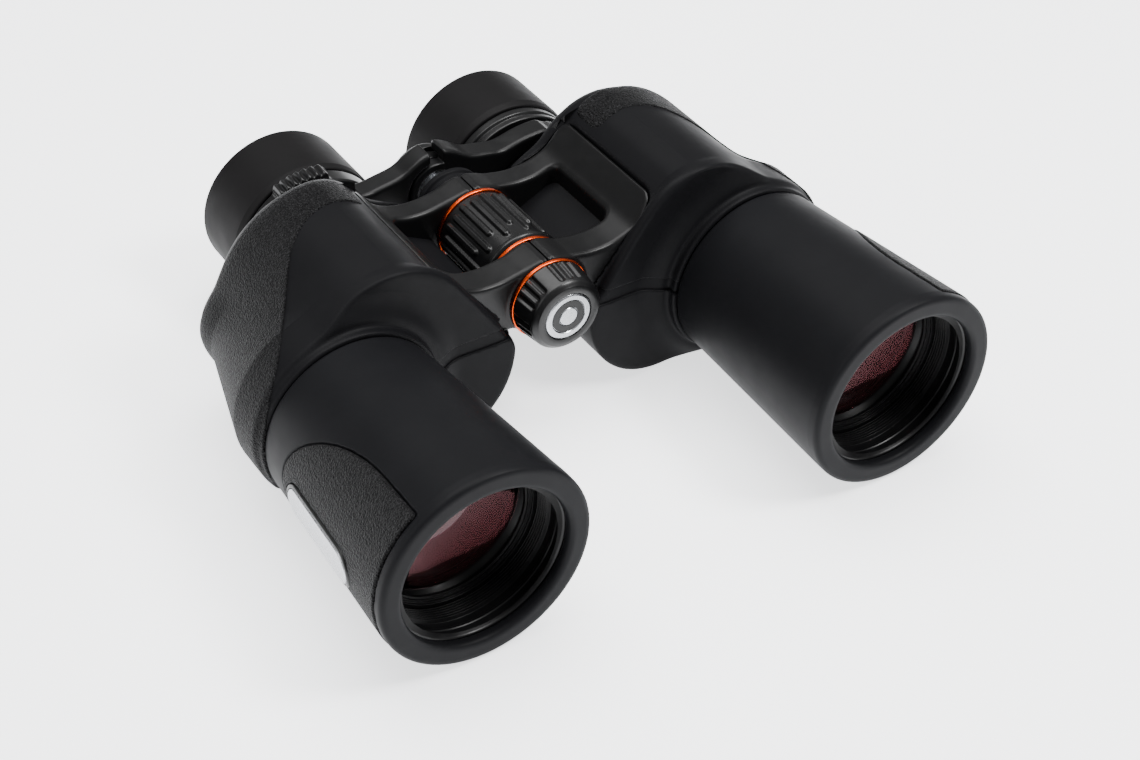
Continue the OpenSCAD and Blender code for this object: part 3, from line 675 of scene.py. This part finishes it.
def bridge(x, y, z, span, lower, bore):
    """Bridge arm with its hub sector and the ring that clamps the eyepiece."""
    around = np.hypot(x, z - HINGE[1])
    ring = np.hypot(x - EYE[0], z - EYE[1])
    top = (z - bridge_top(x)) * 0.9
    floor = 31.0 + 5.0 * smooth01((x - 6) / 12) - z
    web = smax(smax(top, floor, 2.0), x - EYE[0] - 4, 1.0)
    shape = smin(smin(web, ring - 24.4, 3.0), around - 14.0, 2.0)
    d = smax(shape, smax(BRIDGE_Y - y, y - BRIDGE_END, 1.4), 1.6)
    d = smax(d, 19.05 - ring, 0.6)
    d = smax(d, 10.6 - around, 0.6)
    cut = sector(x, z, lower, 2.4)
    d = smax(d, cut, 0.7)
    own = knuckle_part(x, y, z, (span,), bore)
    tie = smax(smax(around - 11.2, 9.4 - around, 0.4), cut, 0.4)
    tie = smax(tie, smax(span[0] - y, y - span[1], 0.4), 0.4)
    return np.minimum(np.minimum(d, own), tie)


# ---- Tubes ----

LIP_Y = 4                      # behind this the rim runs into the tube
PAD_Y, PAD_LENGTH = 22, 40.3   # where the pad's rounded end begins, and how far it reaches
PAD_TOP = {"left": 68.0, "right": 53.0}        # degrees above the outer side
PAD_BOTTOM = 62.0
BADGE_Y, BADGE_HALF, BADGE_R = 39.0, 13.4, 5.7
BADGE_DROP = 5.0               # degrees below the outer side


def tube_centre(y):
    """Axis (x, z) and radius of the tube, which drops and narrows towards the housing."""
    t = np.clip((y - LIP_Y) / (TUBE_END - LIP_Y), 0, 1)
    return OBJ[0] - 0.4 * t, OBJ[1] - 2.8 * t, RIM_R - 4.4 * t


def tube_field(x, y, z):
    cx, cz, r = tube_centre(y)
    return np.hypot(x - cx, z - cz) - r


def tube_angle(x, y, z):
    cx, cz, r = tube_centre(y)
    return np.degrees(np.arctan2(z - cz, x - cx)), r


def pad_outline(x, y, z, top, grow=0.0):
    """Grip pad of the tube: a rounded tongue from the rim, about the outer side."""
    a, r = tube_angle(x, y, z)
    reach = np.where(a > 0, top, PAD_BOTTOM)
    v = np.abs(a) / reach
    u = np.maximum(y - PAD_Y, 0) / PAD_LENGTH
    k = (u ** 2.1 + v ** 2.1 + 1e-9) ** (1 / 2.1)
    scale = np.hypot(u * PAD_LENGTH, v * np.radians(reach) * r) / k
    return smax((k - 1) * scale - grow, 4.2 - grow - y, 1.2)


def badge_outline(x, y, z, grow=0.0):
    """Pill shape laid round the tube's outer side."""
    a, r = tube_angle(x, y, z)
    s = np.radians(a + BADGE_DROP) * r
    along = np.maximum(np.abs(y - BADGE_Y) - BADGE_HALF, 0)
    return np.hypot(s, along) - BADGE_R - grow


def tube_pad(x, y, z, top):
    d = tube_field(x, y, z)
    d = smax(smax(d - 0.3, -(d + 1.7), 0.4), pad_outline(x, y, z, top), 0.7)
    return smax(d, -badge_outline(x, y, z, 1.3), 0.4)


def badge_plate(x, y, z):
    d = tube_field(x, y, z)
    return smax(smax(d - 0.95, -(d + 0.8), 0.3), badge_outline(x, y, z, -0.2), 0.6)


def badge_frame(x, y, z):
    """Dark rim round the badge."""
    d = tube_field(x, y, z)
    rim = smax(smax(d - 0.75, -(d + 1.4), 0.3), badge_outline(x, y, z, 1.15), 0.9)
    return smax(rim, -badge_outline(x, y, z, -0.1), 0.3)


def tube_skin(x, y, z, top):
    """Rubber over the tube: the rim, the wall, and the pocket that the pad lies in."""
    d = tube_field(x, y, z)
    bore = np.hypot(x - OBJ[0], z - OBJ[1])
    shell = smax(d, -(d + 2.6), 0.5)
    lip = smax(d, y - 3.6, 0.8)
    mouth = 26.2 - bore - 3 * np.maximum(y - 8, 0)     # open only in the first 8 mm
    shell = smax(np.minimum(shell, lip), mouth, 1.1)
    shell = smax(smax(shell, -y, 1.9), y - TUBE_END, 0.9)
    pocket = smax(-(d + 0.75), pad_outline(x, y, z, top, 0.45), 0.5)
    return smax(shell, -pocket, 0.6)


def housing_pad(x, y, z):
    d = skin_field(x, y, z)
    slope = 1.25                   # steepness of the pad's front line
    edge = (pad_line(x) - y) / slope
    edge = smax(edge, 41.4 - x, 3.0)
    edge = smax(edge, 7.0 - z, 4.0)
    edge = smax(edge, y - 134.5, 4.0)
    return smax(smax(d - 0.4, -(d + 1.6), 0.4), edge, 0.8)


# ---- Turned parts ----

def grip_radius(ang, y):
    """Focus grip: raised pills, long and short in turn, on a drum."""
    ribs, drum_r, rib_half = 22, 13.0, 0.95
    y0 = WHEEL_Y + 6.0
    y1 = WHEEL_END - 2.6
    out = np.full(np.shape(ang), drum_r)
    for i in range(ribs):
        centre = (i + 0.35) * 2 * math.pi / ribs
        s = (np.mod(ang - centre + math.pi, 2 * math.pi) - math.pi) * (drum_r + 0.4)
        start = y0 + 4.2 * (i % 2)
        stop = y1 - 1.0 * (1 - i % 2)
        along = np.maximum(np.maximum(start + 1.1 - y, y - stop + 1.1), 0)
        d = np.hypot(s, along) - rib_half
        out = np.maximum(out, drum_r + 0.95 * smooth01(0.5 - d / 0.8))
    front_bead = WHEEL_Y + 2.7
    return np.maximum(out, drum_r + 1.15 * smooth01(1.5 - np.abs(y - front_bead)))


CAP_END = CAP_TRIM_Y - 0.1     # rear edge of the cap's fluted part


def cap_radius(ang, y):
    """Front cap: a tapered knob with groups of finger flutes."""
    t = np.clip((y - CAP_Y) / (CAP_END - CAP_Y), 0, 1)
    r = 12.0 + 1.25 * t
    r = r - 1.5 * (1 - smooth01((y - CAP_Y + 0.4) / 2.4)) ** 1.5
    flute = np.zeros(np.shape(ang))
    for g in range(6):
        for i in (-1, 0, 1):
            centre = math.radians(g * 60 + i * 14 + 20)
            s = (np.mod(ang - centre + math.pi, 2 * math.pi) - math.pi) * 12.6
            along = np.maximum(CAP_Y + 3.4 - y, 0)
            flute = np.maximum(flute, smooth01(1.25 - np.hypot(s, along) / 1.05))
    return r - 0.75 * flute


TAB_AT, TAB_HALF, TAB_PITCH = 80.5, 20.0, 5.4  # finger tab, in degrees about the eyepiece


def dioptre_field(x, y, z):
    """Dioptre ring with its ribbed finger tab."""
    ring = np.hypot(x - EYE[0], z - EYE[1])
    a = np.degrees(np.arctan2(z - EYE[1], x - EYE[0]))
    d = smax(ring - 25.0, smax(RING_Y - y, y - RING_END + 0.1, 0.9), 1.0)
    tab = smax(ring - 28.3, smax(RING_Y + 0.5 - y, y - RING_END + 0.4, 1.6), 1.8)
    side = (np.abs(a - TAB_AT) - TAB_HALF) * math.pi / 180 * 27
    tab = smax(tab, side, 1.6)
    wave = 0.55 * np.cos((a - TAB_AT) * 2 * math.pi / TAB_PITCH)
    tab = smax(tab, ring - 27.6 - wave, 0.5)
    d = smin(d, tab, 1.6)
    return smax(d, 19.1 - ring, 0.6)


# ---- Building the pieces ----

SIDES = (("left", False), ("right", True))     # the right side is the mirror image
CUT_DOWN_TO = {"left": -41.0, "right": -88.0}  # angle about the hinge where each side's arms stop
HALF = {"left": "left_half", "right": "right_half"}


def tube_box():
    return ((OBJ[0] - RIM_R - 2, -1.5, -2), (OBJ[0] + RIM_R + 2, TUBE_END + 1.5, 2 * RIM_R + 2))


def build_housings():
    lo, hi = (12, TUBE_END - 2, -2), (104, REAR + 2, 75)
    upper = skin(lambda x, y, z: armour(x, y, z, True), (lo[0], lo[1], 31), hi, 0.62)
    lower = skin(lambda x, y, z: armour(x, y, z, False), lo, (hi[0], hi[1], 38), 0.66)
    inner = skin(core, lo, hi, 0.95)
    pad = skin(housing_pad, (39, TUBE_END - 2, 8), hi, 0.6)
    for side, flip in SIDES:
        body = HALF[side]
        add_piece(side + "_upper_skin", upper, ARMOUR, body,
                  [side + "_upper_armour"], flip)
        add_piece(side + "_lower_skin", lower, ARMOUR, body,
                  [side + "_lower_armour"], flip)
        add_piece(side + "_housing_core", inner, ARMOUR, body,
                  [side + "_prism_housing"], flip)
        add_piece(side + "_housing_pad", pad, GRIP, body, [side + "_grip_pads"], flip)


def build_arms():
    front, back = (ARM_Y + ARM_END) / 2, (BACK_Y + BACK_END) / 2
    spans = {"left": ((ARM_Y, front - HALF_GAP), (BACK_Y, back - HALF_GAP)),
             "right": ((front + HALF_GAP, ARM_END), (back + HALF_GAP, BACK_END))}
    lo, hi = (-12, ARM_Y - 1.5, 26), (PLATE_X + 2, BACK_END + 1.5, 70)
    for side, flip in SIDES:
        shape = skin(lambda x, y, z: arms(x, y, z, spans[side], CUT_DOWN_TO[side]), lo, hi, 0.5)
        add_piece(side + "_hinge_arms", shape, CAST, HALF[side],
                  [side + "_prism_housing"], flip)


def build_bridge():
    mid = (BRIDGE_Y + BRIDGE_END) / 2
    span = {"left": (BRIDGE_Y, mid - HALF_GAP), "right": (mid + HALF_GAP, BRIDGE_END)}
    bore = {"left": PIN_R, "right": PIN_R + PLAY}
    lo = (-15.5, BRIDGE_Y - 1.5, EYE[1] - 26)
    hi = (EYE[0] + 26, BRIDGE_END + 1.5, 59)
    for side, flip in SIDES:
        shape = skin(lambda x, y, z: bridge(x, y, z, span[side], CUT_DOWN_TO[side], bore[side]),
                     lo, hi, 0.5)
        add_piece(side + "_bridge", shape, CAST, side + "_ocular",
                  [side + "_bridge_arm"], flip)


def build_tubes():
    lo, hi = tube_box()
    plate_lo, plate_hi = (OBJ[0] + 20, 15, 12), (OBJ[0] + 36, 63, 48)
    plate = skin(badge_plate, plate_lo, plate_hi, 0.4)
    bezel = skin(badge_frame, plate_lo, plate_hi, 0.4)
    outside = [(24.4, 3.9), (29.2, 3.9), (28.4, 30), (23.9, TUBE_END - 0.1), (23.3, TUBE_END),
               (23.3, METAL_TUBE_END)]
    inside = [(21.6, METAL_TUBE_END), (21.6, TUBE_END - 1.5), (24.4, 40),
              (24.4, STOP_END + 0.3), (26.3, STOP_END + 0.2)]
    mouth = [(26.75, 8.9, 0.2), (26.75, 8.3, 0.2), (26.95, 7.9, 0.2), (26.95, 4.6, 0.3),
             (26.4, 4.4, 0.1)]
    metal_tube = lathe(outside + inside + thread_steps() + mouth, OBJ, 160)
    y = STOP_END
    ring = lathe([(26.2, STOP_Y, 0.3), (26.2, y), (23.4, y, 0.1), (23.4, y - 1.0, 0.15),
                  (24.0, y - 1.2, 0.15), (24.0, y - 1.8, 0.15), (24.8, y - 2.0, 0.15),
                  (24.8, STOP_Y + 0.1, 0.2)], OBJ, 160)
    crown = lens_shape()
    for side, flip in SIDES:
        body = HALF[side]
        top = PAD_TOP[side]
        wall = skin(lambda x, y, z: tube_skin(x, y, z, top), lo, hi, 0.7)
        pad = skin(lambda x, y, z: tube_pad(x, y, z, top), (OBJ[0] - 2, 1, -2),
                   (hi[0], 66, hi[2]), 0.6)
        add_piece(side + "_tube_skin", wall, TUBE_SKIN, body,
                  [side + "_tube_armour"], flip)
        add_piece(side + "_tube_pad", pad, GRIP, body, [side + "_grip_pads"], flip)
        add_piece(side + "_badge_rim", bezel, PLASTIC, body, [side + "_badge"], flip)
        add_piece(side + "_badge_plate", plate, BADGE, body, [side + "_badge"], flip)
        add_piece(side + "_tube_wall", metal_tube, BAFFLE, body,
                  [side + "_objective_tube"], flip)
        add_piece(side + "_lens_ring", ring, BAFFLE, body,
                  [side + "_retaining_ring"], flip)
        add_piece(side + "_front_lens", crown, LENS, body,
                  [side + "_crown_lens"], flip)


def thread_steps():
    """Fine thread just in front of the lens, then a dark undercut."""
    root, crest, pitch = 26.5, 25.9, 0.9
    out = []
    y = STOP_Y
    for turn in range(6):
        out += [(root, y - 0.05, 0.1), (crest, y - 0.35, 0.12),
                (crest, y - 0.55, 0.12), (root, y - 0.85, 0.1)]
        y -= pitch
    return out + [(27.0, y - 0.2, 0.2), (27.0, 9.1, 0.2)]


def sag(r, ball):
    """Depth of a spherical face of radius `ball` at the distance r from its centre."""
    return ball - np.sqrt(ball * ball - r * r)


def lens_shape():
    """Front lens of the objective, with its two curved faces."""
    edge_r, steps = 24.75, 14
    front_ball, back_ball = 115, 90
    radii = [edge_r * i / steps for i in range(steps + 1)]
    face = [(r, LENS_Y + float(sag(r, front_ball))) for r in radii]
    back = [(r, LENS_END - float(sag(r, back_ball))) for r in reversed(radii)]
    return lathe([(0, LENS_Y)] + face[1:] + back[:-1] + [(0, LENS_END)], OBJ, 128, closed=False)


def build_wheel():
    core_r, trim = 11.53, 1.3      # radius of the wheel's own hub, thickness of a trim ring
    front, back = WHEEL_Y + trim, WHEEL_END - trim
    grip = polar(grip_radius, HINGE, front + 0.05, back - 0.05, 96, 720,
                 tail=[(12.9, back - 0.03), (core_r, back - 0.03), (core_r, front + 0.03),
                       (12.9, front + 0.03)])
    add_piece("focus_drum", grip, WHEEL_SKIN, "focus_wheel", ["focus_grip"])
    rings = [trim_ring(core_r, y, trim) for y in (WHEEL_Y, back)]
    add_piece("wheel_trims", joined(rings), ORANGE, "focus_wheel",
              ["wheel_trim_rings"])


def trim_ring(inner, y, thick):
    return lathe([(inner, y), (LUG_R, y, 0.35), (LUG_R, y + thick, 0.35), (inner, y + thick)],
                 HINGE, 160)


def build_cap():
    """Front cap with its ring, and the disc of plain circles let into its face."""
    ring = trim_ring(10.63, CAP_TRIM_Y, CAP_TRIM_END - CAP_TRIM_Y)
    add_piece("cap_trim", ring, ORANGE, "front_cap", ["cap_trim_ring"])
    seat, floor, grip_r = 8.15, CAP_Y + 2.8, 7.06  # disc's seat, bottom and radius of the pin's bore
    knob = polar(cap_radius, HINGE, CAP_Y, CAP_END, 64, 720,
                 head=[(0, DISC_END), (seat - 0.1, DISC_END), (seat, DISC_END - 0.15),
                       (seat, CAP_Y + 0.1), (seat + 0.15, CAP_Y)],
                 tail=[(13.0, CAP_END + 0.02), (10.6, CAP_END + 0.02), (10.6, CAP_BACK),
                       (grip_r, CAP_BACK), (grip_r, floor), (0, floor)])
    add_piece("cap_knob", knob, PLASTIC, "front_cap", ["front_cap"])
    y, sunk = DISC_Y, DISC_Y + 0.4
    disc = lathe([(0, y), (2.9, y, 0.15), (3.2, sunk, 0.05), (5.7, sunk, 0.05), (6.0, y, 0.15),
                  (7.4, y, 0.2), (7.9, y + 0.3, 0.15), (7.9, DISC_END), (0, DISC_END)],
                 HINGE, 128, closed=False)
    add_piece("cap_disc", disc, BADGE, "front_cap", ["cap_emblem"])
    y, end = DISC_Y + 0.15, DISC_END - 0.05
    inlay = lathe([(3.3, y, 0.1), (5.6, y, 0.1), (5.6, end), (3.3, end)], HINGE, 128)
    add_piece("cap_inlay", inlay, PLASTIC, "front_cap", ["cap_emblem"])


def build_hub():
    """Dust ring between the rear arms and the bridge, and the cap behind the bridge."""
    outer, groove_r, groove = 12, 11.2, 140        # radii, and the middle of the groove
    dust = lathe([(7.05, DUST_Y), (outer, DUST_Y, 0.5), (outer, groove - 1, 0.4),
                  (groove_r, groove - 0.4, 0.2), (groove_r, groove + 0.4, 0.2),
                  (outer, groove + 1, 0.4), (outer, DUST_END - 1.2, 0.4), (11, DUST_END, 0.4),
                  (6.0, DUST_END), (6.0, groove), (7.05, groove - 2)], HINGE, 128)
    add_piece("hub_seal", dust, ARMOUR, "left_half", ["dust_ring"])
    y, end = BRIDGE_CAP_Y, BRIDGE_CAP_END
    cap = lathe([(0, y + 0.5), (4.05, y + 0.5), (4.05, y), (11, y, 0.3), (11, end, 1.4),
                 (3.4, end, 0.3), (3.1, end - 0.4, 0.2), (0, end - 0.4)], HINGE, 128, closed=False)
    add_piece("bridge_end_cap", cap, PLASTIC, "left_ocular", ["bridge_cap"])


def build_eyepieces():
    y = CUP_Y
    shoulder = SLEEVE_END + 0.4    # the cup's inner flange, behind the sleeve
    cup = lathe([(20.85, y), (CUP_R - 0.6, y, 0.8), (CUP_R, y + 2.4, 1.0), (CUP_R, CUP_END, 3.4),
                 (22.8, CUP_END, 1.2), (17.2, CUP_END - 6.2, 1.2), (17, shoulder, 0.5),
                 (20.85, shoulder)], EYE, 192)
    for side, flip in SIDES:
        add_piece(side + "_cup_skin", cup, CUP_SKIN, side + "_eyecup",
                  [side + "_eyecup"], flip)
    y, bore, outer, groove_r = RING_Y, 19.05, 24.6, 23.7
    fixed = lathe([(bore, y), (outer, y, 0.6), (outer, y + 1.9, 0.5), (groove_r, y + 2.5, 0.2),
                   (groove_r, y + 3.5, 0.2), (outer, y + 4.1, 0.5), (outer, RING_END, 0.6),
                   (bore, RING_END)], EYE, 160)
    add_piece("left_fixed_ring", fixed, PLASTIC, "left_ocular", ["left_eyepiece_ring"])
    lo = (EYE[0] - 30, RING_Y - 1.5, EYE[1] - 27)
    hi = (EYE[0] + 30, RING_END + 1.6, EYE[1] + 31)
    ring = skin(dioptre_field, lo, hi, 0.4)
    add_piece("right_dioptre_ring", ring, PLASTIC, "diopter_ring",
              ["diopter_ring"], True)


def joined(shapes):
    """Several shapes as one mesh."""
    verts, faces, normals, at = [], [], [], 0
    for v, f, n in shapes:
        verts.append(v)
        normals.append(n)
        faces += [tuple(i + at for i in q) for q in f]
        at += len(v)
    return np.concatenate(verts), faces, np.concatenate(normals)


def finish_cad_nodes():
    """Every CAD node that still shows gets its material from its slot."""
    slots = {s["node"]: s["material_slot"] for s in frame["record"]["subparts"]}
    for name, node in frame["nodes"].items():
        mat = FINISH[slots[name]]
        if name.endswith(("_prism", "field_lens", "eye_lens", "flint_lens")):
            mat = OPTIC
        node.data.materials.clear()
        node.data.materials.append(mat)


# ---- Studio ----

FLOOR_GLOW = 1.7               # the pale table is lit from within, as a light table is
SKY = 0.45


def build_floor():
    size = 6.0
    me = bpy.data.meshes.new("floor")
    me.from_pydata([(-size, -size, 0), (size, -size, 0), (size, size, 0), (-size, size, 0)], [],
                   [(0, 1, 2, 3)])
    floor = bpy.data.objects.new("floor", me)
    bpy.context.scene.collection.objects.link(floor)
    m = Nodes("floor_paper")
    m.to("Base Color", m.mix(m.noise(3.0), (0.93, 0.935, 0.95), (0.96, 0.965, 0.975)))
    m.to("Roughness", m.spread(m.noise(200.0), 0.55, 0.65))
    m.to("Normal", m.bump(m.noise(900.0), 0.02, 0.0001))
    m.to("Emission Color", (0.97, 0.98, 1.0, 1))
    m.to("Emission Strength", FLOOR_GLOW)
    me.materials.append(m.mat)
    lo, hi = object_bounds()
    floor.location.z = lo[2] - 0.0002


def area_light(name, place, aim, width, height, power, colour=(1, 1, 1)):
    data = bpy.data.lights.new(name, "AREA")
    data.shape = "RECTANGLE"
    data.size, data.size_y = width, height
    data.energy = power
    data.color = colour
    ob = bpy.data.objects.new(name, data)
    bpy.context.scene.collection.objects.link(ob)
    ob.location = place
    ob.rotation_mode = "QUATERNION"
    ob.rotation_quaternion = (Vector(aim) - Vector(place)).to_track_quat("-Z", "Y")


def build_lights():
    world = bpy.data.worlds.new("studio")
    world.use_nodes = True
    back = world.node_tree.nodes["Background"]
    back.inputs["Color"].default_value = (1.0, 1.0, 1.0, 1)
    back.inputs["Strength"].default_value = SKY
    bpy.context.scene.world = world
    area_light("overhead", (0.1, 0.25, 1.3), (0, 0, 0.03), 1.5, 1.1, 36)
    area_light("front_box", (0.5, -0.5, 0.95), (0, 0, 0.03), 0.35, 0.35, 14)
    area_light("left_box", (-1.3, 0.1, 0.7), (0, 0, 0.03), 0.8, 0.9, 6)


def build_camera():
    """Above the right barrel, looking down and back, with a slight roll."""
    place = Vector((-0.29265, -0.44388, 0.4374))
    azimuth, elevation, roll = math.radians(-35.02), math.radians(39.37), math.radians(2.8)
    back = Vector((math.sin(azimuth) * math.cos(elevation), -math.cos(azimuth) * math.cos(elevation),
                   math.sin(elevation)))
    right = (-back).cross(Vector((0, 0, 1))).normalized()
    up = right.cross(-back)
    x = math.cos(roll) * right + math.sin(roll) * up
    y = -math.sin(roll) * right + math.cos(roll) * up
    data = bpy.data.cameras.new("camera")
    data.lens, data.sensor_width = 68.09, 36
    cam = bpy.data.objects.new("camera", data)
    bpy.context.scene.collection.objects.link(cam)
    cam.matrix_world = Matrix((x, y, back)).transposed().to_4x4()
    cam.location = place
    bpy.context.scene.camera = cam


build_camera()
finish_cad_nodes()
build_housings()
build_arms()
build_bridge()
build_tubes()
build_wheel()
build_cap()
build_hub()
build_eyepieces()
build_floor()
build_lights()
